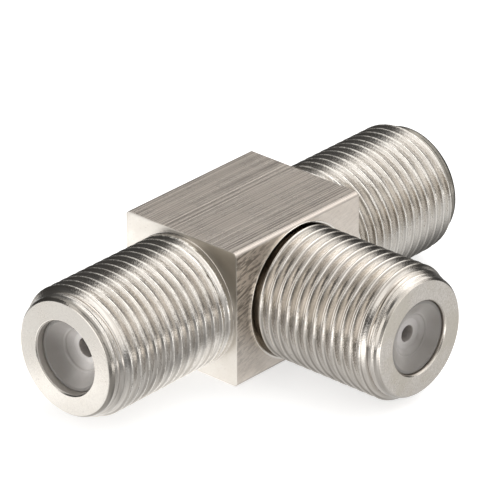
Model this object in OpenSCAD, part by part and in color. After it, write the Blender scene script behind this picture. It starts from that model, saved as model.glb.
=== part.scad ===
// Three-way coaxial tee adapter, with three threaded sockets.
// A short length of square bar is turned down at both ends into the in-line
// barrels, and a third barrel is pressed into its side. Each barrel holds a
// moulded insulator, and two metal contacts cross in the middle of the block.
// Origin: centre of the block's underside, straight below the point where the
// barrel axes cross. +X is along the in-line barrels, -Y along the side barrel.

/* [Block] */
// Side of the square bar
bar_side = 10; // [9.9:0.1:12]
// Length of the square block between the in-line barrels
block_len = 12.4; // [11.5:0.1:16]
// Bevel along the four long edges of the bar
bar_bevel = 0.2; // [0.05:0.05:0.4]

/* [Barrels] */
// Length of each in-line barrel
inline_len = 11.3; // [10:0.1:14]
// Length of the side barrel in front of the block
branch_len = 10.7; // [10:0.1:14]
// Diameter over the thread crests
thread_d = 9.44; // [9.3:0.02:9.52]
// Distance between thread crests, 32 to the inch
thread_pitch = 0.79375; // [0.75:0.00125:0.9]
// Width of the flat on each thread crest
crest_flat = 0.1; // [0.05:0.01:0.2]
// Plain collar between the thread and the block on each in-line barrel
collar_len = 0.6; // [0.4:0.1:1.2]
// Diameter of the unthreaded pilot at the tip of each barrel, and of the thread roots
pilot_d = 8.54; // [8.4:0.02:8.8]
// Length of the pilot, with its chamfer
pilot_len = 0.75; // [0.5:0.05:1.2]
// Length of the taper from the pilot up to the thread crests
lead_len = 0.25; // [0.2:0.05:0.6]
// Diameter of the flat ring at the tip
face_d = 8.06; // [7.6:0.02:8.3]
// Length of the chamfer at the tip
tip_chamfer = 0.25; // [0.1:0.05:0.4]

/* [Side barrel seat] */
// Step from the edge of the block's side in to the rim of the thin flange
flange_inset = 0.1; // [0.05:0.05:0.2]
// Thickness of the flange
flange_t = 0.12; // [0.1:0.01:0.3]
// Diameter of the relief neck
neck_d = 8.5; // [8:0.05:8.8]
// Length of the relief neck
neck_len = 0.3; // [0.2:0.05:0.6]
// Diameter of the spigot in the block
spigot_d = 7.2; // [6.6:0.1:7.8]
// Length of the spigot
spigot_len = 2; // [1.2:0.1:2.2]

/* [Bores] */
// Diameter of the socket bore in each barrel
socket_d = 5.2; // [5:0.05:5.6]
// Depth of the socket bore, to the step that stops the insulator
socket_depth = 8.1; // [7.5:0.1:9]
// Diameter of the bores that meet in the block
line_bore_d = 4.4; // [4:0.1:4.8]
// Chamfer round the mouth of each socket
mouth_chamfer = 0.12; // [0.05:0.01:0.2]

/* [Insulators] */
// Depth of the in-line insulator's rim below the barrel's face
inline_rim_depth = 0.6; // [0.3:0.05:1]
// Depth of the dish in the in-line insulator, from rim to hub
inline_dish = 1.35; // [0.8:0.05:1.6]
// Diameter of the conductor hole in the in-line insulator
inline_hole_d = 1.35; // [1.15:0.05:1.5]
// Depth of the side insulator's rim below the barrel's face
branch_rim_depth = 0.25; // [0.2:0.05:0.8]
// Depth of the dish in the side insulator, from rim to hub
branch_dish = 0.7; // [0.4:0.05:1.2]
// Diameter of the conductor hole in the side insulator
branch_hole_d = 1.15; // [1.1:0.05:1.4]
// Width of the insulator's rim
rim_w = 0.2; // [0.1:0.05:0.4]
// Diameter of the flat hub round the conductor hole
hub_d = 2.4; // [2:0.1:3]
// Step round the hub
hub_step = 0.12; // [0.05:0.01:0.3]
// Wall between the hub and the contact's chamber
web_t = 1; // [0.7:0.05:1.3]

/* [Contacts] */
// Outside diameter of the contacts' sockets
contact_d = 1.8; // [1.7:0.05:2]
// Diameter of the hole between each contact's closed spring fingers
contact_hole_d = 0.8; // [0.7:0.05:0.85]
// Depth of the hole in each contact's socket
contact_hole_depth = 6; // [5:0.1:6.5]
// Length of each contact's socket
contact_socket_len = 7; // [6.8:0.1:7.5]
// Width of the slots that make the spring fingers
slot_w = 0.3; // [0.2:0.05:0.4]
// Length of the slots
slot_len = 4.5; // [3:0.1:4.8]
// Diameter of the contacts' waist
waist_d = 1.3; // [1.2:0.05:1.5]
// Diameter of the boss where the contacts cross
cross_boss_d = 2; // [1.8:0.1:2.4]
// Length of the boss where the contacts cross
cross_boss_len = 2.4; // [2:0.1:3]
// Diameter of the side contact's pin
pin_d = 0.9; // [0.8:0.05:1]

/* [Fits] */
// Gap round a pressed piece
press_gap = 0.01; // [0.005:0.005:0.02]
// Gap round each insulator
insulator_gap = 0.02; // [0.01:0.01:0.05]
// Gap round each contact in its insulator, and at its mouth
contact_gap = 0.1; // [0.05:0.01:0.15]

/* [Hidden] */
$fn = 96;

over = 1;
crest_r = thread_d / 2;
socket_r = socket_d / 2;
line_r = line_bore_d / 2;
spigot_r = spigot_d / 2;
axis_z = bar_side / 2;
inline_tip = block_len / 2 + inline_len;
branch_tip = bar_side / 2 + branch_len;
chamber_r = contact_d / 2 + contact_gap;
hub_r = hub_d / 2;
inline_mouth = inline_rim_depth + inline_dish + web_t + contact_gap;
branch_mouth = branch_rim_depth + branch_dish + web_t + contact_gap;
contact_flare = 0.2;
pin_end = 0.75 * cross_boss_d / 2;

// Places a child whose +Z runs out of a barrel on that barrel's axis
module on_left() { translate([0, 0, axis_z]) rotate([0, -90, 0]) children(); }
module on_right() { translate([0, 0, axis_z]) rotate([0, 90, 0]) children(); }
module on_branch() { translate([0, 0, axis_z]) rotate([90, 0, 0]) children(); }

// Points [radius, height] down the outside of a barrel, from the middle of its
// flat tip over the chamfer, pilot and taper to the first thread crest
function tip_outline(tip) = [
    [0, tip], [face_d / 2, tip], [pilot_d / 2, tip - tip_chamfer],
    [pilot_d / 2, tip - pilot_len], [crest_r, tip - pilot_len - lead_len]
];

// Points [radius, height] of the thread grooves of a barrel, from the first crest
// below its tip down to the height low, as rings one pitch apart
function groove_outline(tip, low) =
    let (top = tip - pilot_len - lead_len, count = floor((top - low) / thread_pitch))
    [for (ring = [0 : count - 1], point = [
        [crest_r, top - ring * thread_pitch - crest_flat],
        [pilot_d / 2, top - ring * thread_pitch - (thread_pitch + crest_flat) / 2],
        [crest_r, top - (ring + 1) * thread_pitch]
    ]) point];

// Socket bore with its mouth chamfer, cut from the tip of a barrel down
module socket_cut(tip) {
    translate([0, 0, tip - socket_depth]) cylinder(r = socket_r, h = socket_depth + over);
    translate([0, 0, tip - mouth_chamfer])
        cylinder(r1 = socket_r, r2 = socket_r + mouth_chamfer + over, h = mouth_chamfer + over);
}

// Square bar with bevelled long edges, and both in-line barrels
module body() {
    bar_half = bar_side / 2;
    flat_half = bar_half - bar_bevel;
    section = [
        [flat_half, bar_half], [bar_half, flat_half], [bar_half, -flat_half],
        [flat_half, -bar_half], [-flat_half, -bar_half], [-bar_half, -flat_half],
        [-bar_half, flat_half], [-flat_half, bar_half]
    ];
    collar_top = block_len / 2 + collar_len;
    outline = concat(
        tip_outline(inline_tip), groove_outline(inline_tip, collar_top), [[crest_r, 0], [0, 0]]
    );
    color("#b9b2a8")
    difference() {
        union() {
            on_right() translate([0, 0, -block_len / 2]) linear_extrude(block_len) polygon(section);
            on_right() rotate_extrude() polygon(outline);
            on_left() rotate_extrude() polygon(outline);
        }
        on_right() translate([0, 0, -inline_tip]) cylinder(r = line_r, h = 2 * inline_tip);
        on_right() socket_cut(inline_tip);
        on_left() socket_cut(inline_tip);
        on_branch() cylinder(r = line_r, h = bar_half);
        on_branch() translate([0, 0, bar_half - spigot_len - press_gap])
            cylinder(r = spigot_r + press_gap, h = spigot_len + press_gap + over);
    }
}

// Side barrel: threaded stretch, relief neck, thin flange and pressed spigot
module branch_barrel() {
    seat = bar_side / 2;
    flange_r = seat - flange_inset;
    neck_top = seat + flange_t + neck_len;
    outline = concat(
        tip_outline(branch_tip), groove_outline(branch_tip, neck_top),
        [
            [crest_r, neck_top], [neck_d / 2, neck_top], [neck_d / 2, seat + flange_t],
            [flange_r, seat + flange_t], [flange_r, seat],
            [spigot_r, seat], [spigot_r, seat - spigot_len], [0, seat - spigot_len]
        ]
    );
    color("#b5aea4")
    on_branch() difference() {
        rotate_extrude() polygon(outline);
        cylinder(r = line_r, h = branch_tip);
        socket_cut(branch_tip);
    }
}

// Moulded insulator on +Z: dished front with a stepped hub and a hole for the
// conductor, and behind it a chamber that holds the end of a contact
module insulator(tip, rim_depth, dish, hole_d) {
    rim = tip - rim_depth;
    hub = rim - dish;
    back = tip - socket_depth;
    outer = socket_r - insulator_gap;
    outline = [
        [hole_d / 2, hub - web_t], [hole_d / 2, hub - hub_step], [hub_r - hub_step, hub - hub_step],
        [hub_r, hub], [outer - rim_w, rim], [outer, rim], [outer, back],
        [chamber_r, back], [chamber_r, hub - web_t]
    ];
    rotate_extrude() polygon(outline);
}

module left_insulator() {
    color("#d6d4ce") on_left() insulator(inline_tip, inline_rim_depth, inline_dish, inline_hole_d);
}

module right_insulator() {
    color("#d6d4ce") on_right() insulator(inline_tip, inline_rim_depth, inline_dish, inline_hole_d);
}

module branch_insulator() {
    color("#d6d4ce") on_branch() insulator(branch_tip, branch_rim_depth, branch_dish, branch_hole_d);
}

// Hole, flared mouth and crossed slots of one contact socket that ends at height top
module socket_end_cut(top) {
    translate([0, 0, top - contact_hole_depth]) cylinder(d = contact_hole_d, h = contact_hole_depth + over);
    translate([0, 0, top - contact_flare])
        cylinder(d1 = contact_hole_d, d2 = contact_hole_d + 2 * (contact_flare + over), h = contact_flare + over);
    for (turn = [45, 135])
        rotate(turn) translate([-contact_d, -slot_w / 2, top - slot_len])
            cube([2 * contact_d, slot_w, slot_len + over]);
}

// Double-ended contact along X, with a cross-drilled boss in the middle
module through_contact() {
    top = inline_tip - inline_mouth;
    waist_end = top - contact_socket_len;
    color("#c9b98a")
    difference() {
        union() {
            on_right() translate([0, 0, -waist_end]) cylinder(d = waist_d, h = 2 * waist_end);
            on_right() translate([0, 0, -cross_boss_len / 2]) cylinder(d = cross_boss_d, h = cross_boss_len);
            on_right() translate([0, 0, waist_end]) cylinder(d = contact_d, h = contact_socket_len);
            on_left() translate([0, 0, waist_end]) cylinder(d = contact_d, h = contact_socket_len);
        }
        on_right() socket_end_cut(top);
        on_left() socket_end_cut(top);
        on_branch() translate([0, 0, -cross_boss_d]) cylinder(r = pin_d / 2 + press_gap, h = 2 * cross_boss_d);
    }
}

// Single-ended contact of the side barrel, with a pin through the boss
module branch_contact() {
    top = branch_tip - branch_mouth;
    waist_end = top - contact_socket_len;
    shoulder = cross_boss_d / 2 + press_gap;
    color("#c9b98a")
    on_branch() difference() {
        union() {
            translate([0, 0, -pin_end]) cylinder(d = pin_d, h = pin_end + shoulder + over);
            translate([0, 0, shoulder]) cylinder(d = waist_d, h = waist_end - shoulder + over);
            translate([0, 0, waist_end]) cylinder(d = contact_d, h = contact_socket_len);
        }
        socket_end_cut(top);
    }
}

body();
branch_barrel();
left_insulator();
right_insulator();
branch_insulator();
through_contact();
branch_contact();
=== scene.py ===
"""Looks of the coaxial tee adapter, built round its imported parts.

Lengths are millimetres while a surface is worked out and metres in the mesh.
"""

import bmesh
import bpy
import numpy as np
from mathutils import Matrix, Vector


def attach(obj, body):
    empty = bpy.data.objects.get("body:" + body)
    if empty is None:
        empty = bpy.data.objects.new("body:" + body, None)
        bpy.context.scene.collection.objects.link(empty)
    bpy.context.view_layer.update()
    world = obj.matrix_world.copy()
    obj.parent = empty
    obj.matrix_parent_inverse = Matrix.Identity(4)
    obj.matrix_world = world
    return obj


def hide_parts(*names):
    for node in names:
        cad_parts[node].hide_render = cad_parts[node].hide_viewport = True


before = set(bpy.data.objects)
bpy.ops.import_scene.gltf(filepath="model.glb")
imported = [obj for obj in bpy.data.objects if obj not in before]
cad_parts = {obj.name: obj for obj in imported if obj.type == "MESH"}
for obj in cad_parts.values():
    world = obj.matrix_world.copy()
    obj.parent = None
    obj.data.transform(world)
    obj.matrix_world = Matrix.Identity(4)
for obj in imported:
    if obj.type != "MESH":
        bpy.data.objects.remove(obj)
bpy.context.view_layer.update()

# Block and in-line barrels: one length of square brass bar, turned down at both
# ends, bored through, threaded from the tips inwards and then nickel plated.
# The thread dies away before the block and leaves a plain collar.
METRES = 0.001
BAR_HALF = 5.0
BAR_BEVEL = 0.2
BAR_AXIS = (0.0, 0.0, 5.0)
BLOCK_HALF = 6.2
EDGE_BREAK = 0.05
INLINE_TIP = 17.5
CREST_R = 4.72
ROOT_R = 4.27
PITCH = 0.79375
GROOVE_HALF_WIDTHS = np.array([0, 0.06, 0.10, 0.20, 0.305, 0.340, 0.362, PITCH / 2])
GROOVE_RADII = np.array([4.27, 4.275, 4.30, 4.466, 4.650, 4.700, 4.717, 4.72])
THREAD_LEAD = 0.45
INLINE_GROOVE = 0.62
INLINE_RUNOUT = -0.45
RUNOUT_TURNS = 0.9
COLLAR_LEN = 0.3
COLLAR_FOOT = 0.12
FACE_R = 4.03
FACE_CHAMFER = 0.17
PILOT_LEN = 0.75
SOCKET_R = 2.6
SOCKET_DEPTH = 8.1
LINE_BORE_R = 2.2
MOUTH_CHAMFER = 0.12
SOCKET_EASE = 0.035
COLLAR_EASE = 0.02
COLUMN_DEGREES = 3.0
BEVEL_DEGREES = np.array([0, 0.6, 0.95, 1.17, 1.4, 1.7, 2.1, 3.2])
BEVEL_CLEARANCE = 4
BAR_POWER = 400
EDGE_CURVE = np.array([0, 0.08, 0.29, 0.62, 1])
JOIN_WITHIN = 4e-7
DROP_WITHIN = 2e-7
SHARP_DEGREES = 40

# Rings that the tool left on the pilot: how far out from the root, how far down from the tip.
PILOT_RINGS = (
    (-0.03, 0.29), (-0.01, 0.36), (-0.06, 0.40), (0.01, 0.45),
    (-0.05, 0.50), (0.02, 0.55), (-0.03, 0.60), (0.02, 0.67),
)


def turn_angles():
    """Angles of the mesh columns round a barrel, the first again at the end.

    They are 3 degrees apart, and closer at the bar's bevels.
    """
    even = np.arange(0.0, 360.0, COLUMN_DEGREES)
    even = even[np.abs(even % 90 - 45) > BEVEL_CLEARANCE]
    corner = 45 + np.concatenate([-BEVEL_DEGREES[:0:-1], BEVEL_DEGREES])
    bevels = (corner[None, :] + np.arange(0, 360, 90)[:, None]).ravel()
    angles = np.radians(np.sort(np.concatenate([even, bevels])))
    return np.append(angles, angles[0] + 2 * np.pi)


ROUND = turn_angles()


def eased(outline, ease):
    """Outline [radius, height] with its inner corners eased by (1-t)^2 a + 2t(1-t) corner + t^2 b.

    a and b lie one ease before and after the corner, with a second point twice as far out. The
    ease is cut to 0.24 of a short side, so that two corners' points never cross.
    """
    points = np.array(outline, float)
    corner = points[1:-1]
    back = points[:-2] - corner
    fore = points[2:] - corner
    back_len = np.linalg.norm(back, axis=1, keepdims=True)
    fore_len = np.linalg.norm(fore, axis=1, keepdims=True)
    back_step = back / back_len * np.minimum(ease, 0.24 * back_len)
    fore_step = fore / fore_len * np.minimum(ease, 0.24 * fore_len)
    t = np.array([0, 0.25, 0.5, 0.75, 1])[:, None, None]
    curve = (1 - t) ** 2 * (corner + back_step) + 2 * t * (1 - t) * corner
    curve = curve + t ** 2 * (corner + fore_step)
    rows = np.concatenate([[corner + 2 * back_step], curve, [corner + 2 * fore_step]])
    return np.vstack([points[:1], rows.transpose(1, 0, 2).reshape(-1, 2), points[-1:]])


def turned(outline):
    """Height and radius grids of an outline [radius, height] turned round its axis."""
    outline = np.asarray(outline, float)
    height = np.repeat(outline[:, 1:2], len(ROUND), 1)
    radius = np.repeat(outline[:, 0:1], len(ROUND), 1)
    return height, radius


def threaded(low, high, groove_at, runout_turn=None):
    """Height and radius grids of a right-hand thread between two heights.

    Rows follow the helix, height = start + pitch * angle / 2 pi, and stop at low and high. The radius
    is the groove's outline at the distance from its middle, cut off by the taper at the tip. At the
    root the groove grows shallow until it is gone at runout_turn, counted in turns from groove_at.
    """
    offsets = np.concatenate([-GROOVE_HALF_WIDTHS[-2:0:-1], GROOVE_HALF_WIDTHS])
    turns = np.arange(int((low - groove_at) / PITCH) - 3, int((high - groove_at) / PITCH) + 2)
    start = (groove_at + turns[:, None] * PITCH + offsets[None, :]).ravel()
    start = start[(start > low - 1.3 * PITCH) & (start < high + 0.3 * PITCH)]
    height = np.clip(start[:, None] + PITCH * ROUND[None, :] / (2 * np.pi), low, high)
    along = (height - groove_at) / PITCH - ROUND[None, :] / (2 * np.pi)
    nearest = np.round(along)
    radius = np.interp(np.abs(along - nearest) * PITCH, GROOVE_HALF_WIDTHS, GROOVE_RADII)
    if runout_turn is not None:
        turn = nearest + ROUND[None, :] / (2 * np.pi)
        depth = np.clip((turn - runout_turn) / RUNOUT_TURNS, 0, 1) ** 0.8
        radius = np.minimum(CREST_R, radius + (CREST_R - ROOT_R) * (1 - depth))
    taper = np.interp(high - height, [0, THREAD_LEAD], [ROOT_R, CREST_R])
    return height, np.minimum(radius, taper)


def bar_radius(angle):
    """Distance from the bar's axis to its surface: eight flats joined by a steep power mean."""
    normals = np.arange(8) * np.pi / 4
    reach = np.where(np.arange(8) % 2 == 0, BAR_HALF, (2 * BAR_HALF - BAR_BEVEL) / np.sqrt(2))
    part = np.maximum(np.cos(angle[:, None] - normals[None, :]), 0) / reach[None, :]
    most = part.max(1)
    return 1 / (most * ((part / most[:, None]) ** BAR_POWER).sum(1) ** (1 / BAR_POWER))


def grid_points(height, radius, axis, side):
    """Points of a turned grid: centre + height * axis + radius * (cos * side + sin * up), in metres."""
    axis = np.array(axis, float)
    side = np.array(side, float)
    up = np.array([0.0, 0.0, 1.0])
    around = np.cos(ROUND)[:, None] * side + np.sin(ROUND)[:, None] * up
    points = np.array(BAR_AXIS) + height[..., None] * axis + radius[..., None] * around[None, :, :]
    return points * METRES


def welded_mesh(name, grids):
    """Mesh of point grids [rows, columns, 3], joined where they meet, closed, with faces outward."""
    corners = []
    faces = []
    first = 0
    for grid in grids:
        rows, columns = grid.shape[:2]
        number = np.arange(rows * columns).reshape(rows, columns) + first
        quads = np.stack([number[:-1, :-1], number[:-1, 1:], number[1:, 1:], number[1:, :-1]], -1)
        corners.append(grid.reshape(-1, 3))
        faces.append(quads.reshape(-1, 4))
        first += rows * columns
    mesh = bpy.data.meshes.new(name)
    mesh.from_pydata(np.concatenate(corners), [], np.concatenate(faces))
    work = bmesh.new()
    work.from_mesh(mesh)
    bmesh.ops.remove_doubles(work, verts=work.verts, dist=JOIN_WITHIN)
    bmesh.ops.dissolve_degenerate(work, edges=work.edges, dist=DROP_WITHIN)
    bmesh.ops.recalc_face_normals(work, faces=work.faces)
    work.to_mesh(mesh)
    work.free()
    mesh.shade_smooth()
    mesh.set_sharp_from_angle(angle=np.radians(SHARP_DEGREES))
    piece = bpy.data.objects.new(name, mesh)
    bpy.context.scene.collection.objects.link(piece)
    return piece


def socket_rows(tip):
    """Outline from the line bore out through the socket, over the mouth, face and chamfer, to the pilot."""
    step = tip - SOCKET_DEPTH
    hidden_step = [[LINE_BORE_R, 0], [LINE_BORE_R, step]]
    mouth_and_face = [
        [SOCKET_R, step], [SOCKET_R, tip - MOUTH_CHAMFER], [SOCKET_R + MOUTH_CHAMFER, tip],
        [FACE_R, tip], [FACE_R + FACE_CHAMFER, tip - FACE_CHAMFER],
    ]
    rings = [[ROOT_R + out, tip - down] for out, down in PILOT_RINGS]
    seen = eased(mouth_and_face + rings + [[ROOT_R, tip - PILOT_LEN]], SOCKET_EASE)
    return np.vstack([hidden_step, seen])


def inline_barrel(axis, side):
    """Socket, tip, thread, collar and the end face of the block, out to the bar's edge."""
    thread_top = INLINE_TIP - PILOT_LEN
    thread_low = BLOCK_HALF + COLLAR_LEN
    foot_r = CREST_R + COLLAR_FOOT
    inside = turned(socket_rows(INLINE_TIP))
    thread = threaded(thread_low, thread_top, BLOCK_HALF + INLINE_GROOVE, INLINE_RUNOUT)
    root = turned(eased([[CREST_R, thread_low], [CREST_R, BLOCK_HALF], [foot_r, BLOCK_HALF]], COLLAR_EASE))
    rim = bar_radius(ROUND)
    reach = np.array([0.55, 0.85])[:, None]
    face = foot_r * (1 - reach) + rim[None, :] * (1 - EDGE_BREAK / BAR_HALF) * reach
    broken = rim[None, :] * (1 - EDGE_CURVE[::-1, None] * EDGE_BREAK / BAR_HALF)
    face_height = np.full_like(face, BLOCK_HALF)
    broken_height = np.repeat(BLOCK_HALF - EDGE_CURVE[:, None] * EDGE_BREAK, len(ROUND), 1)
    height = np.vstack([inside[0], thread[0][::-1], root[0], face_height, broken_height])
    radius = np.vstack([inside[1], thread[1][::-1], root[1], face, broken])
    return grid_points(height, radius, axis, side)


def bar_sides():
    """Flats and bevels of the bar between the broken edges of its two end faces."""
    end = BLOCK_HALF - EDGE_BREAK
    height = np.array([-end, -end + 0.08, -end + 0.3, -3, 0, 3, end - 0.3, end - 0.08, end])
    rim = bar_radius(ROUND)
    return grid_points(np.repeat(height[:, None], len(ROUND), 1),
                       np.repeat(rim[None, :], len(height), 0), (1, 0, 0), (0, 1, 0))


body = welded_mesh("plated_body", [
    inline_barrel((-1, 0, 0), (0, -1, 0)), bar_sides(), inline_barrel((1, 0, 0), (0, 1, 0)),
])


def add(tree, kind, inputs=(), **settings):
    """Adds a node, sets its settings, and feeds its inputs by place or name with values or outputs."""
    made = tree.nodes.new(kind)
    for setting, value in settings.items():
        setattr(made, setting, value)
    places = inputs if isinstance(inputs, dict) else dict(enumerate(inputs))
    for place, value in places.items():
        if isinstance(value, bpy.types.NodeSocket):
            tree.links.new(value, made.inputs[place])
        elif value is not None:
            made.inputs[place].default_value = value
    return made


def reckon(tree, operation, *values):
    """Output of a Math node."""
    return add(tree, "ShaderNodeMath", values, operation=operation).outputs[0]


def times(tree, first, second):
    """Product of two values."""
    return reckon(tree, "MULTIPLY", first, second)


def with_parts(tree, total, parts):
    """Total with mask * amount added for each (mask, amount)."""
    for mask, amount in parts:
        total = reckon(tree, "MULTIPLY_ADD", mask, amount, total)
    return total


def off_axis(tree, first, second):
    """Distance from an axis, the root of first squared plus second squared."""
    return reckon(tree, "SQRT", with_parts(tree, times(tree, second, second), ((first, first),)))


def ramp(tree, value, low, high, to_low=0.0, to_high=1.0):
    """Output of a smooth Map Range node."""
    made = add(tree, "ShaderNodeMapRange", (value, low, high, to_low, to_high),
               interpolation_type="SMOOTHSTEP")
    return made.outputs[0]


def stretched(tree, place, stretch):
    """Place multiplied by a stretch along each axis."""
    return add(tree, "ShaderNodeVectorMath", (place, stretch), operation="MULTIPLY").outputs[0]


def noise(tree, place, scale, detail=2.0, rough=0.5, stretch=(1, 1, 1)):
    """Output of a Noise node on a stretched place."""
    made = add(tree, "ShaderNodeTexNoise", {
        "Vector": stretched(tree, place, stretch), "Scale": scale, "Detail": detail, "Roughness": rough,
    })
    return made.outputs["Fac"]


def blend_values(tree, amount, first, second):
    """Output of a plain Mix node."""
    return add(tree, "ShaderNodeMix", (amount, None, first, second)).outputs[0]


def blend_colours(tree, amount, first, second):
    """Output of a colour Mix node."""
    made = add(tree, "ShaderNodeMix", {0: amount, 6: first, 7: second}, data_type="RGBA")
    return made.outputs[2]


def coated(tree, colour, coats):
    """Colour with each (mask, tone) laid over the ones before it."""
    for mask, tone in coats:
        colour = blend_colours(tree, mask, colour, tone)
    return colour


def new_group(name, inputs, outputs):
    """Empty shader group with named sockets."""
    tree = bpy.data.node_groups.new(name, "ShaderNodeTree")
    for label, kind in inputs:
        tree.interface.new_socket(label, in_out="INPUT", socket_type="NodeSocket" + kind)
    for label, kind in outputs:
        tree.interface.new_socket(label, in_out="OUTPUT", socket_type="NodeSocket" + kind)
    return tree, tree.nodes.new("NodeGroupInput").outputs, tree.nodes.new("NodeGroupOutput").inputs


def use_group(tree, group, inputs):
    """Places a group in a material with its own values."""
    return add(tree, "ShaderNodeGroup", inputs, node_tree=group).outputs


def turned_marks_group():
    """Fine rings that a lathe tool leaves: noise on (along, out), drawn out round the axis."""
    tree, given, result = new_group(
        "turned marks",
        [("Along", "Float"), ("Out", "Float"), ("Turn", "Float"), ("Fineness", "Float")],
        [("Height", "Float"), ("Shade", "Float")])
    slow = times(tree, given["Turn"], 0.35)
    place = add(tree, "ShaderNodeCombineXYZ", (given["Along"], given["Out"], slow)).outputs[0]
    fine = add(tree, "ShaderNodeTexNoise", {
        "Vector": place, "Scale": given["Fineness"], "Detail": 3.0,
    }).outputs["Fac"]
    wide = add(tree, "ShaderNodeTexNoise", {
        "Vector": stretched(tree, place, (0.3, 0.3, 1.0)), "Scale": given["Fineness"], "Detail": 1.0,
    }).outputs["Fac"]
    both = with_parts(tree, times(tree, wide, 0.35), ((fine, 0.65),))
    tree.links.new(both, result["Height"])
    tree.links.new(ramp(tree, both, 0.3, 0.7), result["Shade"])
    return tree


def plating_wear_group():
    """Small pits, rubbed patches, nicks and grain of a plated surface handled loose in a bag."""
    tree, given, result = new_group(
        "plating wear", [("Place", "Vector")],
        [("Pits", "Float"), ("Patches", "Float"), ("Nicks", "Float"), ("Grain", "Float")])
    place = given["Place"]
    tree.links.new(ramp(tree, noise(tree, place, 5.5, 3.0, 0.6), 0.62, 0.72), result["Pits"])
    tree.links.new(ramp(tree, noise(tree, place, 0.55, 3.0, 0.55), 0.35, 0.68), result["Patches"])
    tree.links.new(ramp(tree, noise(tree, place, 2.4, 4.0, 0.7), 0.44, 0.55), result["Nicks"])
    tree.links.new(noise(tree, place, 7.5, 3.0, 0.65), result["Grain"])
    return tree


def thread_wear_and_shade_group():
    """Masks of a used barrel, some of them painted shade: rubbed crests, the painted dark line under them,
    roots, bore, the painted dark tip edge, and the face.

    From foot and To tip are distances along the barrel, Out is the distance from its axis, and the painted
    dark line starts at Line depth below the crest.
    """
    tree, given, result = new_group(
        "thread wear and shade",
        [("From foot", "Float"), ("To tip", "Float"), ("Out", "Float"), ("Nicks", "Float"),
         ("Line depth", "Float")],
        [("Thread", "Float"), ("Crest", "Float"), ("Shade under crest", "Float"), ("Root", "Float"),
         ("Bore", "Float"), ("Tip edge", "Float"), ("Tip face", "Float")])
    out = given["Out"]
    to_tip = given["To tip"]
    on_thread = ramp(tree, given["From foot"], 0.20, 0.35)
    nicked = times(tree, on_thread, given["Nicks"])
    line_foot = reckon(tree, "SUBTRACT", CREST_R, given["Line depth"])
    # Painted shade: a dark line on the flanks just under the crest.
    line = times(tree, ramp(tree, out, line_foot, CREST_R - 0.13),
                 ramp(tree, out, CREST_R - 0.08, CREST_R - 0.05, 1, 0))
    tree.links.new(on_thread, result["Thread"])
    tree.links.new(times(tree, ramp(tree, out, CREST_R - 0.05, CREST_R - 0.015), nicked), result["Crest"])
    tree.links.new(times(tree, line, on_thread), result["Shade under crest"])
    tree.links.new(times(tree, ramp(tree, out, ROOT_R, ROOT_R + 0.16, 1, 0),
                         ramp(tree, to_tip, 0.7, 0.9)), result["Root"])
    tree.links.new(ramp(tree, out, SOCKET_R + 0.02, SOCKET_R + 0.06, 1, 0), result["Bore"])
    # Painted shade: a dark band round the tip's chamfer and the start of the pilot.
    tree.links.new(times(tree, ramp(tree, to_tip, 0.30, 0.42, 1, 0),
                         ramp(tree, to_tip, 0.02, 0.05)), result["Tip edge"])
    tree.links.new(ramp(tree, to_tip, 0.01, 0.05, 1, 0), result["Tip face"])
    return tree


TURNED_MARKS = turned_marks_group()
PLATING_WEAR = plating_wear_group()
THREAD_WEAR_AND_SHADE = thread_wear_and_shade_group()
RING_FINENESS = 5.0


def place_on_part(tree):
    """Object coordinates in millimetres from the point where the barrel axes cross, and their parts."""
    object_place = add(tree, "ShaderNodeTexCoord").outputs["Object"]
    to_mm = [1 / METRES] * 3
    from_axis = [-middle for middle in BAR_AXIS]
    place = add(tree, "ShaderNodeVectorMath", (object_place, to_mm, from_axis),
                operation="MULTIPLY_ADD").outputs[0]
    parts = add(tree, "ShaderNodeSeparateXYZ", (place,)).outputs
    return place, parts[0], parts[1], parts[2]


def new_material(name, roughness=0.3, metallic=1.0):
    """Material with one Principled shader; returns it with its tree and shader."""
    made = bpy.data.materials.new(name)
    made.use_nodes = True
    shader = made.node_tree.nodes["Principled BSDF"]
    shader.inputs["Roughness"].default_value = roughness
    shader.inputs["Metallic"].default_value = metallic
    return made, made.node_tree, shader


def dress_surface(tree, shader, colour, roughness, height, depth):
    """Feeds a Principled shader's colour, roughness and normal; depth is the height's size in mm."""
    tree.links.new(colour, shader.inputs["Base Color"])
    tree.links.new(roughness, shader.inputs["Roughness"])
    bump = add(tree, "ShaderNodeBump", {"Height": height, "Strength": 1.0, "Distance": depth * METRES})
    tree.links.new(bump.outputs[0], shader.inputs["Normal"])


BAR_DARK = (0.24, 0.21, 0.185, 1)
BAR_LIGHT = (0.77, 0.70, 0.63, 1)
FRONT_NICKEL_AND_SHEEN = (0.896, 0.826, 0.751, 1)
SCUFF_AND_SHADE = (0.12, 0.10, 0.08, 1)
BARREL_DARK = (0.50, 0.47, 0.43, 1)
BARREL_LIGHT = (0.75, 0.72, 0.68, 1)
FAR_BARREL_SHEEN = (0.88, 0.85, 0.80, 1)
FLAT_NICKEL = (0.76, 0.725, 0.67, 1)
CORNER_SHADE = (0.27, 0.245, 0.205, 1)
RUBBED_CREST = (0.90, 0.87, 0.81, 1)
CREST_SHADE_LINE = (0.20, 0.18, 0.155, 1)
ROOT_DARKENING = (0.34, 0.30, 0.26, 1)
TIP_EDGE_SHADE = (0.20, 0.185, 0.16, 1)
FAR_TIP_SHADE = (0.17, 0.16, 0.135, 1)
SOCKET_WALL = (0.64, 0.61, 0.575, 1)
BEVEL_SHADE = (0.44, 0.40, 0.365, 1)
BRASS_PATCH = (0.60, 0.53, 0.46, 1)
PIT_GRIME = (0.36, 0.32, 0.28, 1)
NICKEL_BUMP = 0.004


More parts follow.
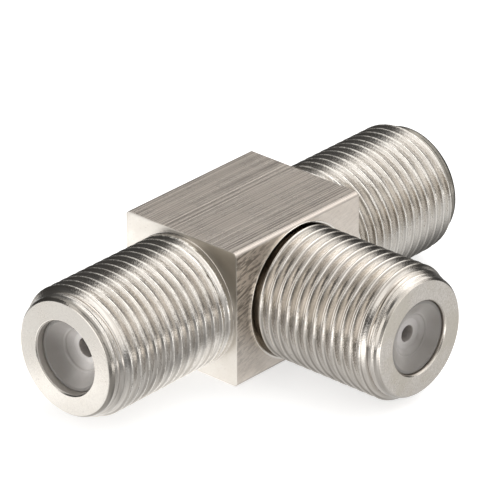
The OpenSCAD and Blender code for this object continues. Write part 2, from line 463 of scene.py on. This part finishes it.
def nickel_on_body():
    """Nickel over drawn flats and turned barrels: drawing lines on the block, rings on the barrels."""
    made, tree, shader = new_material("nickel on body")
    place, x, y, z = place_on_part(tree)
    along = reckon(tree, "ABSOLUTE", x)
    out = off_axis(tree, y, z)
    turn = reckon(tree, "ARCTAN2", z, y)
    wear = use_group(tree, PLATING_WEAR, {"Place": place})
    marks = use_group(tree, TURNED_MARKS, {
        "Along": along, "Out": out, "Turn": turn, "Fineness": RING_FINENESS,
    })
    worn_and_shaded = use_group(tree, THREAD_WEAR_AND_SHADE, {
        "From foot": reckon(tree, "SUBTRACT", along, BLOCK_HALF),
        "To tip": reckon(tree, "SUBTRACT", INLINE_TIP, along),
        "Out": out, "Nicks": wear["Nicks"], "Line depth": 0.19,
    })
    # Which part of the body a point is on.
    on_block = ramp(tree, along, BLOCK_HALF - 0.02, BLOCK_HALF, 1, 0)
    off_block = reckon(tree, "SUBTRACT", 1.0, on_block)
    end_face = times(tree, ramp(tree, out, CREST_R + 0.02, CREST_R + 0.08),
                     ramp(tree, along, BLOCK_HALF - 0.06, BLOCK_HALF - 0.02))
    flat_face = reckon(tree, "MAXIMUM", end_face, worn_and_shaded["Tip face"])
    front_face = times(tree, on_block, ramp(tree, y, -BAR_HALF + 0.01, -BAR_HALF + 0.03, 1, 0))
    far_barrel = ramp(tree, x, BLOCK_HALF, BLOCK_HALF + 0.5)
    # Drawing lines along the bar, and the tool's rings round the side port on the front face.
    broad_lines = noise(tree, place, 1.0, 2.0, 0.5, (0.010, 4.5, 4.5))
    fine_lines = noise(tree, place, 1.0, 1.5, 0.6, (0.012, 14.0, 14.0))
    lines = with_parts(tree, times(tree, broad_lines, 0.14), ((fine_lines, 0.86),))
    deep_lines = ramp(tree, noise(tree, place, 1.0, 1.0, 0.5, (0.02, 10.0, 10.0)), 0.57, 0.65, 0, 0.6)
    line_shade = reckon(tree, "SUBTRACT", ramp(tree, lines, 0.45, 0.56), deep_lines)
    grain_shade = ramp(tree, wear["Grain"], 0.25, 0.75)
    spot = use_group(tree, TURNED_MARKS, {
        "Along": y, "Out": off_axis(tree, x, z), "Turn": reckon(tree, "ARCTAN2", z, x), "Fineness": 4.0,
    })
    barrel_shade = blend_values(tree, flat_face, marks["Shade"], grain_shade)
    shade = blend_values(tree, on_block, barrel_shade, line_shade)
    shade = blend_values(tree, times(tree, front_face, 0.6), shade, spot["Shade"])
    # Slanted scuff marks on the front face, laid thicker on its left and upper part as painted shade.
    slanted = add(tree, "ShaderNodeCombineXYZ", (x, y, with_parts(tree, z, ((x, -0.3),)))).outputs[0]
    scuffs_and_shade = ramp(tree, noise(tree, slanted, 1.0, 4.0, 0.7, (0.9, 1.0, 4.8)), 0.48, 0.55)
    scuffs_and_shade = times(tree, scuffs_and_shade, ramp(tree, x, -4.6, -2.0, 1.0, 0.12))
    scuffs_and_shade = times(tree, scuffs_and_shade, ramp(tree, z, -4.2, 2.0, 0.15, 0.68))
    scuffs_and_shade = times(tree, scuffs_and_shade, front_face)
    on_bar = blend_colours(tree, shade, BAR_DARK, BAR_LIGHT)
    # Painted sheen: the front face is painted paler over its own nickel tone.
    on_bar = coated(tree, on_bar, ((times(tree, front_face, 0.85), FRONT_NICKEL_AND_SHEEN), (scuffs_and_shade, SCUFF_AND_SHADE)))
    # Painted sheen: the far barrel is painted paler on its low side.
    painted_low_sheen = times(tree, ramp(tree, x, 0.0, BLOCK_HALF, 0, 0.55), ramp(tree, z, 1.5, 4.2, 1, 0))
    on_barrel = blend_colours(tree, shade, BARREL_DARK, BARREL_LIGHT)
    on_barrel = coated(tree, on_barrel, ((painted_low_sheen, FAR_BARREL_SHEEN),))
    # Stains, wear and grime over both, darker thread roots, and painted shade in places.
    flat_tone = with_parts(tree, times(tree, flat_face, 0.8), ((end_face, 0.1),))
    # Painted shade: the upper front corner of the left end face is painted dark as a reflection of the
    # barrel.
    corner = times(tree, ramp(tree, reckon(tree, "SUBTRACT", z, y), 4.8, 6.6, 0, 0.8),
                   times(tree, end_face, ramp(tree, x, -1.0, 1.0, 1, 0)))
    # The thread roots are painted darker.
    root = times(tree, worn_and_shaded["Root"], ramp(tree, along, BLOCK_HALF + 0.1, BLOCK_HALF + 0.3))
    # Painted shade: a dark band round the far barrel's tip.
    far_tip_shade = times(tree, ramp(tree, x, INLINE_TIP - 1.15, INLINE_TIP - 0.90),
                    ramp(tree, x, INLINE_TIP - 0.05, INLINE_TIP - 0.02, 0.8, 0))
    # Painted shade: the bar's bevels are painted darker, which tones down their highlight.
    corner_reach = reckon(tree, "ADD", reckon(tree, "ABSOLUTE", y), reckon(tree, "ABSOLUTE", z))
    bevel_reach = 2 * BAR_HALF - BAR_BEVEL
    bevel = times(tree, ramp(tree, corner_reach, bevel_reach - 0.10, bevel_reach - 0.02), on_block)
    colour = coated(tree, blend_colours(tree, on_block, on_barrel, on_bar), (
        (flat_tone, FLAT_NICKEL),
        (corner, CORNER_SHADE),
        (times(tree, worn_and_shaded["Crest"], 0.8), RUBBED_CREST),
        (times(tree, worn_and_shaded["Shade under crest"], 0.3), CREST_SHADE_LINE),
        (times(tree, root, 0.3), ROOT_DARKENING),
        (times(tree, worn_and_shaded["Tip edge"], 0.72), TIP_EDGE_SHADE),
        (far_tip_shade, FAR_TIP_SHADE),
        (worn_and_shaded["Bore"], SOCKET_WALL),
        (times(tree, bevel, 0.7), BEVEL_SHADE),
        (times(tree, wear["Patches"], 0.15), BRASS_PATCH),
        (times(tree, wear["Pits"], 0.30), PIT_GRIME),
    ))
    rough = with_parts(tree, 0.30, (
        (shade, -0.05), (wear["Patches"], 0.05), (off_block, -0.19), (worn_and_shaded["Crest"], 0.20),
        (far_barrel, 0.05), (end_face, 0.26), (worn_and_shaded["Tip face"], 0.14), (front_face, 0.16),
        (worn_and_shaded["Bore"], 0.45),
    ))
    on_rings = reckon(tree, "SUBTRACT", off_block, flat_face)
    on_lines = reckon(tree, "SUBTRACT", on_block, front_face)
    grain_depth = with_parts(tree, 1.2, ((flat_face, -0.5), (worn_and_shaded["Thread"], 1.6)))
    height = with_parts(tree, times(tree, marks["Height"], on_rings), (
        (times(tree, lines, on_lines), 6.0), (times(tree, spot["Height"], front_face), 3.0),
        (wear["Pits"], -0.4), (wear["Grain"], grain_depth),
    ))
    dress_surface(tree, shader, colour, rough, height, NICKEL_BUMP)
    return made


body.data.materials.append(nickel_on_body())
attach(body, "root")
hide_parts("body")

# Side barrel: turned and threaded by itself from round brass, nickel plated, and
# pressed into the side of the block up to a thin flange. A relief neck ends its thread.
BRANCH_TIP = 15.7
FLANGE_R = 4.9
FLANGE_T = 0.12
FLANGE_TOP = BAR_HALF + FLANGE_T
NECK_R = 4.25
NECK_LEN = 0.3
NECK_SHOULDER = 0.03
BRANCH_GROOVE = 0.25
SPIGOT_R = 3.6
SPIGOT_LEN = 2.0
BRANCH_EASE = 0.03


def branch_barrel():
    """Socket, tip, thread, neck, flange and spigot, closed back into the line bore."""
    thread_top = BRANCH_TIP - PILOT_LEN
    thread_low = FLANGE_TOP + NECK_LEN
    back = BAR_HALF - SPIGOT_LEN
    socket = socket_rows(BRANCH_TIP)
    socket[0, 1] = back
    inside = turned(socket)
    thread = threaded(thread_low, thread_top, thread_low + BRANCH_GROOVE)
    seat = turned(eased([
        [ROOT_R, thread_low], [NECK_R, thread_low - NECK_SHOULDER], [NECK_R, FLANGE_TOP],
        [FLANGE_R, FLANGE_TOP], [FLANGE_R, BAR_HALF], [SPIGOT_R, BAR_HALF], [SPIGOT_R, back],
        [LINE_BORE_R, back],
    ], BRANCH_EASE))
    height = np.vstack([inside[0], thread[0][::-1], seat[0][1:]])
    radius = np.vstack([inside[1], thread[1][::-1], seat[1][1:]])
    return grid_points(height, radius, (0, -1, 0), (1, 0, 0))


branch = welded_mesh("plated_branch_barrel", [branch_barrel()])
BRANCH_DARK = (0.52, 0.485, 0.44, 1)
BRANCH_LIGHT = (0.75, 0.71, 0.665, 1)
BRANCH_CREST = (0.88, 0.84, 0.78, 1)
BRANCH_CREST_SHADE_LINE = (0.17, 0.15, 0.13, 1)
BRANCH_ROOT_DARKENING = (0.33, 0.29, 0.25, 1)
BRANCH_TIP_EDGE_SHADE = (0.24, 0.22, 0.195, 1)
NECK_SHADE = (0.19, 0.16, 0.125, 1)
FLANGE_HIGHLIGHT = (0.90, 0.86, 0.80, 1)
BRANCH_SOCKET_WALL = (0.40, 0.36, 0.32, 1)
FACE_STAIN = (0.55, 0.51, 0.43, 1)


def nickel_on_branch():
    """Nickel over turned brass: rings on the face, glossy flanks, darker thread roots, painted shade in the
    neck.
    """
    made, tree, shader = new_material("nickel on branch")
    place, x, y, z = place_on_part(tree)
    along = times(tree, y, -1.0)
    out = off_axis(tree, x, z)
    turn = reckon(tree, "ARCTAN2", z, x)
    wear = use_group(tree, PLATING_WEAR, {"Place": place})
    marks = use_group(tree, TURNED_MARKS, {
        "Along": along, "Out": out, "Turn": turn, "Fineness": RING_FINENESS,
    })
    worn_and_shaded = use_group(tree, THREAD_WEAR_AND_SHADE, {
        "From foot": reckon(tree, "SUBTRACT", along, FLANGE_TOP),
        "To tip": reckon(tree, "SUBTRACT", BRANCH_TIP, along),
        "Out": out, "Nicks": wear["Nicks"], "Line depth": 0.20,
    })
    grain_shade = ramp(tree, wear["Grain"], 0.1, 0.9)
    shade = blend_values(tree, worn_and_shaded["Tip face"], marks["Shade"], grain_shade)
    neck_top = FLANGE_TOP + NECK_LEN
    # Painted shade: the relief neck is painted dark.
    in_neck = times(tree, ramp(tree, along, neck_top, neck_top + 0.08, 0.85, 0),
                    ramp(tree, out, CREST_R + 0.02, CREST_R + 0.08, 1, 0))
    # Painted highlight: the flange's outer part is painted pale.
    flange_highlight = ramp(tree, out, CREST_R + 0.03, CREST_R + 0.08)
    stained = times(tree, wear["Patches"], with_parts(tree, 0.15, ((worn_and_shaded["Tip face"], 0.40),)))
    colour = coated(tree, blend_colours(tree, shade, BRANCH_DARK, BRANCH_LIGHT), (
        (times(tree, worn_and_shaded["Crest"], 0.35), BRANCH_CREST),
        (times(tree, worn_and_shaded["Shade under crest"], 0.55), BRANCH_CREST_SHADE_LINE),
        # The thread roots are painted darker.
        (times(tree, worn_and_shaded["Root"], 0.5), BRANCH_ROOT_DARKENING),
        (times(tree, worn_and_shaded["Tip edge"], 0.35), BRANCH_TIP_EDGE_SHADE),
        (in_neck, NECK_SHADE),
        (flange_highlight, FLANGE_HIGHLIGHT),
        (worn_and_shaded["Bore"], BRANCH_SOCKET_WALL),
        (stained, FACE_STAIN),
        (times(tree, wear["Pits"], 0.30), PIT_GRIME),
    ))
    rough = with_parts(tree, 0.125, (
        (marks["Shade"], -0.05), (worn_and_shaded["Tip face"], 0.14), (worn_and_shaded["Crest"], 0.08),
        (worn_and_shaded["Bore"], 0.25), (wear["Patches"], 0.06),
    ))
    grain_depth = with_parts(tree, 2.4, ((worn_and_shaded["Tip face"], -0.8),))
    height = with_parts(tree, marks["Height"], ((wear["Pits"], -0.4), (wear["Grain"], grain_depth)))
    dress_surface(tree, shader, colour, rough, height, NICKEL_BUMP)
    return made


branch.data.materials.append(nickel_on_branch())
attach(branch, "root")
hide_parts("branch_barrel")

# Insulators: moulded in natural polyethylene and pushed into each socket up to the
# step. Their dished fronts guide the conductor to the hole in a small stepped hub.
INSULATOR_R = 2.58
INSULATOR_EASE = 0.05
HUB_R = 1.2
HUB_STEP = 0.12
RIM_W = 0.2
WEB_T = 1.0
CHAMBER_R = 1.0
CHAMBER_FLARE = 0.3

# A moulding has the tip of its barrel, the depths of its rim and dish, and its hole's radius.
INLINE_MOULDING = (INLINE_TIP, 0.6, 1.35, 0.675)
BRANCH_MOULDING = (BRANCH_TIP, 0.25, 0.7, 0.575)

# A port has its CAD node, its moulding, and the directions of its axis and side.
PORTS = (
    ("left_insulator", INLINE_MOULDING, (-1, 0, 0), (0, -1, 0)),
    ("right_insulator", INLINE_MOULDING, (1, 0, 0), (0, 1, 0)),
    ("branch_insulator", BRANCH_MOULDING, (0, -1, 0), (1, 0, 0)),
)
BRANCH_PORT_MILK = (0.57, 0.545, 0.53, 1)
INLINE_PORT_MILK = (0.91, 0.88, 0.86, 1)
BRANCH_RIM_SHADE = (0.34, 0.32, 0.30, 1)
INLINE_RIM_SHADE = (0.52, 0.495, 0.475, 1)
DUST = (0.33, 0.31, 0.29, 1)
SHADED_MILK = (0.18, 0.165, 0.15, 1)
RIM_GAP = (0.20, 0.19, 0.18, 1)
HOLE_SHADE = (0.02, 0.017, 0.015, 1)
HOLE_LIT = (0.46, 0.43, 0.41, 1)
MILK_BUMP = 0.006


def insulator(tip, rim_depth, dish, hole_r, axis, side):
    """Dished front, hub and conductor hole, and behind them the chamber of the contact."""
    rim = tip - rim_depth
    hub = rim - dish
    back = tip - SOCKET_DEPTH
    flare = [CHAMBER_R + CHAMBER_FLARE, back]
    outline = eased([
        flare, [CHAMBER_R, back], [CHAMBER_R, hub - WEB_T], [hole_r, hub - WEB_T],
        [hole_r, hub - HUB_STEP], [HUB_R - HUB_STEP, hub - HUB_STEP], [HUB_R, hub],
        [INSULATOR_R - RIM_W, rim], [INSULATOR_R, rim], [INSULATOR_R, back], flare,
    ], INSULATOR_EASE)
    height, radius = turned(outline)
    return grid_points(height, radius, axis, side)


def milky_plastic():
    """Natural polyethylene: milky, a little glossy, with faint flow lines and dust in the dish."""
    made, tree, shader = new_material("milky polyethylene", 0.35, 0.0)
    shader.inputs["Subsurface Weight"].default_value = 0.2
    shader.inputs["Subsurface Radius"].default_value = (1.0, 0.95, 0.85)
    shader.inputs["Subsurface Scale"].default_value = 0.0008
    shader.inputs["IOR"].default_value = 1.51
    place, x, y, z = place_on_part(tree)
    in_line = ramp(tree, reckon(tree, "ABSOLUTE", x), 5.5, 6.0)
    across = blend_values(tree, in_line, x, y)
    out = off_axis(tree, across, z)
    cloud = noise(tree, place, 0.9, 3.0, 0.55)
    grain = noise(tree, place, 9.0, 3.0, 0.6)
    # Painted shade: each dish is painted darker out towards the socket wall. Painted light: the in-line
    # ports' copy of the plastic is painted lighter than the side port's.
    unshaded_centre = ramp(tree, with_parts(tree, out, ((cloud, 0.8),)), 1.2, 2.7, 1, 0)
    milky = blend_colours(tree, in_line, BRANCH_PORT_MILK, INLINE_PORT_MILK)
    hub = blend_colours(tree, in_line, BRANCH_RIM_SHADE, INLINE_RIM_SHADE)
    # Painted shade: one side of each dish is painted darker.
    lower_right = times(tree, reckon(tree, "SUBTRACT", x, z), 0.9)
    off_left = with_parts(tree, -0.85, ((y, 1.45), (z, -0.8)))
    unlit = blend_values(tree, in_line, lower_right, off_left)
    at_rim = ramp(tree, out, INSULATOR_R - RIM_W - 0.08, INSULATOR_R - RIM_W + 0.02)
    # Painted light in the conductor hole: shade on one side, a lit wall on the other.
    in_hole = ramp(tree, with_parts(tree, out, ((in_line, -0.1),)), 0.58, 0.61, 1, 0)
    hole = blend_colours(tree, ramp(tree, across, -0.42, 0.0), HOLE_SHADE, HOLE_LIT)
    colour = coated(tree, blend_colours(tree, unshaded_centre, hub, milky), (
        (ramp(tree, grain, 0.6, 0.75, 0, 0.25), DUST),
        (ramp(tree, unlit, -0.7, 2.3, 0, 0.86), SHADED_MILK),
        (times(tree, at_rim, 0.7), RIM_GAP),
        (in_hole, hole),
    ))
    rough = with_parts(tree, 0.27, ((grain, 0.15),))
    ridge = ramp(tree, reckon(tree, "ABSOLUTE", reckon(tree, "SUBTRACT", out, 1.5)), 0, 0.1, 6, 0)
    height = reckon(tree, "ADD", with_parts(tree, grain, ((cloud, 2.0),)), ridge)
    dress_surface(tree, shader, colour, rough, height, MILK_BUMP)
    return made


MILKY_PLASTIC = milky_plastic()
for node, moulding, axis, side in PORTS:
    piece = welded_mesh("moulded_" + node, [insulator(*moulding, axis, side)])
    piece.data.materials.append(MILKY_PLASTIC)
    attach(piece, "root")
    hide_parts(node)

# Contacts: turned from bronze, slotted into spring fingers and tin plated. Only
# their dull ends are seen, through the conductor holes.
TIN = (0.58, 0.55, 0.50, 1)
BARE_BRONZE = (0.44, 0.36, 0.26, 1)
TIN_BUMP = 0.004


def dull_tin():
    """Tin over bronze: dull grey, with brownish spots where it is thin."""
    made, tree, shader = new_material("dull tin", 0.45)
    place = place_on_part(tree)[0]
    spots = noise(tree, place, 2.5, 4.0, 0.6)
    grain = noise(tree, place, 14.0, 2.0, 0.5)
    colour = blend_colours(tree, ramp(tree, spots, 0.4, 0.7), TIN, BARE_BRONZE)
    rough = with_parts(tree, 0.35, ((spots, 0.2),))
    dress_surface(tree, shader, colour, rough, grain, TIN_BUMP)
    return made


DULL_TIN = dull_tin()
for node in ("through_contact", "branch_contact"):
    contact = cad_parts[node]
    contact.data.materials.clear()
    contact.data.materials.append(DULL_TIN)

# Studio: soft round lights in a dim room, the widest above on the right, on the left
# and low in front, and dark gaps between them, which the thread's flanks mirror.
# Each light has its direction, the cosines where it starts and is full, and its strength.
LIGHTS = (
    ((0.66, 0.04, 0.75), 0.83, 0.92, 1.30),
    ((0.28, -0.22, 0.93), 0.84, 0.95, 1.08),
    ((0.40, -0.83, 0.37), 0.81, 0.94, 1.12),
    ((0.66, -0.40, 0.62), 0.88, 0.96, 0.45),
    ((-0.55, 0.34, 0.76), 0.955, 0.99, 1.50),
    ((-0.22, -0.75, 0.62), 0.93, 0.985, 0.95),
    ((-0.62, -0.78, -0.10), 0.88, 0.96, 0.55),
    ((-0.97, -0.05, 0.22), 0.77, 0.90, 1.52),
    ((-0.05, 0.45, 0.89), 0.90, 0.96, 0.80),
    ((0.62, 0.52, 0.59), 0.80, 0.95, 0.30),
)
LOW_GLOW = 0.08
HIGH_GLOW = 0.16
LAMP_WHITE = (1, 0.99, 0.975, 1)


def towards_cosine(tree, towards, centre):
    """Cosine of the angle between a direction and a centre."""
    made = add(tree, "ShaderNodeVectorMath", (towards, centre), operation="DOT_PRODUCT")
    return made.outputs["Value"]


def studio_world():
    """Strength by direction: a base plus soft round lights, each a smooth step of the angle's cosine."""
    world = bpy.data.worlds.new("studio")
    bpy.context.scene.world = world
    world.use_nodes = True
    tree = world.node_tree
    tree.nodes.clear()
    towards = add(tree, "ShaderNodeTexCoord").outputs["Generated"]
    height = add(tree, "ShaderNodeSeparateXYZ", (towards,)).outputs[2]
    total = ramp(tree, height, 0.25, 0.60, LOW_GLOW, HIGH_GLOW)
    for centre, start, full, strength in LIGHTS:
        cosine = towards_cosine(tree, towards, Vector(centre).normalized())
        total = reckon(tree, "ADD", total, ramp(tree, cosine, start, full, 0, strength))
    seen = add(tree, "ShaderNodeLightPath").outputs["Is Camera Ray"]
    light = add(tree, "ShaderNodeBackground", (LAMP_WHITE, blend_values(tree, seen, total, 1.0)))
    tree.links.new(light.outputs[0], add(tree, "ShaderNodeOutputWorld").inputs[0])


studio_world()

# Floor: a matt white sheet to the camera. What the plating mirrors of it is painted light, a glow
# painted bright on the left and in front, and dim on the right behind. Each spot has its centre in
# metres, the distances where it is full and where it ends, and its amount, above zero for painted
# light and below zero for painted shade.
SHEET_BASE = 0.80
PAINTED_POOLS = (
    ((-0.009, 0.0, 0), 0.004, 0.009, 0.85),
    ((-0.0175, 0.016, 0), 0.003, 0.0095, 1.10),
    ((-0.020, 0.0015, 0), 0.003, 0.009, 0.70),
    ((-0.0265, 0.008, 0), 0.004, 0.010, 0.12),
    ((-0.022, -0.009, 0), 0.007, 0.015, -0.22),
    ((-0.012, -0.006, 0), 0.003, 0.0065, -0.18),
    ((-0.040, -0.014, 0), 0.008, 0.018, -0.50),
    ((-0.010, -0.042, 0), 0.012, 0.024, 1.60),
    ((-0.130, 0.045, 0), 0.060, 0.110, 1.20),
)
DIM_CORNER = (0.90, 0.436, 0)
DIM_BACK = (-0.33, 0.94, 0)
SHEET_GREY = (0.74, 0.74, 0.74, 1)
SHEET_LIFT = 0.6
MATT_SHARE = 0.35
SHEET_HALF = 4.0
SHEET_DROP = 2e-5


def white_sheet():
    """Matt white that reads as white to the camera and keeps the shadow.

    What the plating mirrors is painted light, the base tone plus a smooth round spot for each row of
    PAINTED_POOLS, multiplied down towards the dim corner and the dim back, and shown mostly as a glow.
    """
    made = bpy.data.materials.new("white sheet")
    made.use_nodes = True
    tree = made.node_tree
    tree.nodes.clear()
    place = add(tree, "ShaderNodeTexCoord").outputs["Object"]
    towards = add(tree, "ShaderNodeVectorMath", (place,), operation="NORMALIZE").outputs[0]
    distance = add(tree, "ShaderNodeVectorMath", (place,), operation="LENGTH").outputs["Value"]
    tone = SHEET_BASE
    for centre, full, end, amount in PAINTED_POOLS:
        off = add(tree, "ShaderNodeVectorMath", (place, centre), operation="DISTANCE").outputs["Value"]
        tone = reckon(tree, "ADD", tone, ramp(tree, off, full, end, amount, 0))
    to_corner = towards_cosine(tree, towards, DIM_CORNER)
    to_back = towards_cosine(tree, towards, DIM_BACK)
    tone = times(tree, tone, ramp(tree, to_corner, 0.52, 0.80, 1.0, 0.22))
    dimmed = times(tree, ramp(tree, to_back, 0.58, 0.86), ramp(tree, distance, 0.045, 0.09, 0, 0.9))
    tone = times(tree, tone, reckon(tree, "SUBTRACT", 1.0, dimmed))
    matt = add(tree, "ShaderNodeBsdfDiffuse", (SHEET_GREY,)).outputs[0]
    lift = add(tree, "ShaderNodeEmission", ((1, 1, 1, 1), SHEET_LIFT)).outputs[0]
    seen_sheet = add(tree, "ShaderNodeAddShader", (matt, lift)).outputs[0]
    dim = add(tree, "ShaderNodeBsdfDiffuse", (times(tree, tone, MATT_SHARE),)).outputs[0]
    glow = add(tree, "ShaderNodeEmission", {"Strength": times(tree, tone, 1 - MATT_SHARE)}).outputs[0]
    mirrored = add(tree, "ShaderNodeAddShader", (dim, glow)).outputs[0]
    rays = add(tree, "ShaderNodeLightPath").outputs
    camera_side = add(tree, "ShaderNodeMixShader", (rays["Is Camera Ray"], matt, seen_sheet)).outputs[0]
    both = add(tree, "ShaderNodeMixShader", (rays["Is Glossy Ray"], camera_side, mirrored)).outputs[0]
    tree.links.new(both, add(tree, "ShaderNodeOutputMaterial").inputs[0])
    return made


sheet_mesh = bpy.data.meshes.new("white_sheet")
sheet_signs = ((-1, -1), (1, -1), (1, 1), (-1, 1))
sheet_corners = [(x * SHEET_HALF, y * SHEET_HALF, -SHEET_DROP) for x, y in sheet_signs]
sheet_mesh.from_pydata(sheet_corners, [], [(0, 1, 2, 3)])
sheet_mesh.materials.append(white_sheet())
sheet = bpy.data.objects.new("white_sheet", sheet_mesh)
bpy.context.scene.collection.objects.link(sheet)

# Camera: on the front left and above, far off with a long lens, as the photograph was
# taken. The aim is off the adapter's centre by some pixels of the 500 pixel picture.
CAMERA_AZIMUTH = 47.54
CAMERA_ELEVATION = 27.12
CAMERA_ROLL = -0.57
CAMERA_DISTANCE = 0.3504
CAMERA_CENTRE = (0, 0, 0.005)
FOCAL_PIXELS = 5161.0
AIM_RIGHT = 6.39
AIM_UP = 17.13
PICTURE = 500.0
SENSOR = 36.0

azimuth, elevation, roll = np.radians([CAMERA_AZIMUTH, CAMERA_ELEVATION, CAMERA_ROLL])
level_part = np.cos(elevation)
forward = Vector((np.sin(azimuth) * level_part, np.cos(azimuth) * level_part, -np.sin(elevation)))
level = forward.cross(Vector((0, 0, 1))).normalized()
upward = level.cross(forward)
right = level * np.cos(roll) + upward * np.sin(roll)
top = upward * np.cos(roll) - level * np.sin(roll)
aim = (forward + right * (AIM_RIGHT / FOCAL_PIXELS) + top * (AIM_UP / FOCAL_PIXELS)).normalized()
right = (right - aim * aim.dot(right)).normalized()
top = right.cross(aim)
lens = bpy.data.cameras.new("camera")
lens.lens = FOCAL_PIXELS * SENSOR / PICTURE
lens.sensor_width = SENSOR
lens.clip_start = 0.01
lens.clip_end = 100
camera = bpy.data.objects.new("camera", lens)
turned_to = Matrix((right, top, -aim)).transposed().to_4x4()
stood_at = Vector(CAMERA_CENTRE) - forward * CAMERA_DISTANCE
camera.matrix_world = Matrix.Translation(stood_at) @ turned_to
bpy.context.scene.collection.objects.link(camera)
bpy.context.scene.camera = camera
bpy.context.scene.view_settings.view_transform = "Standard"
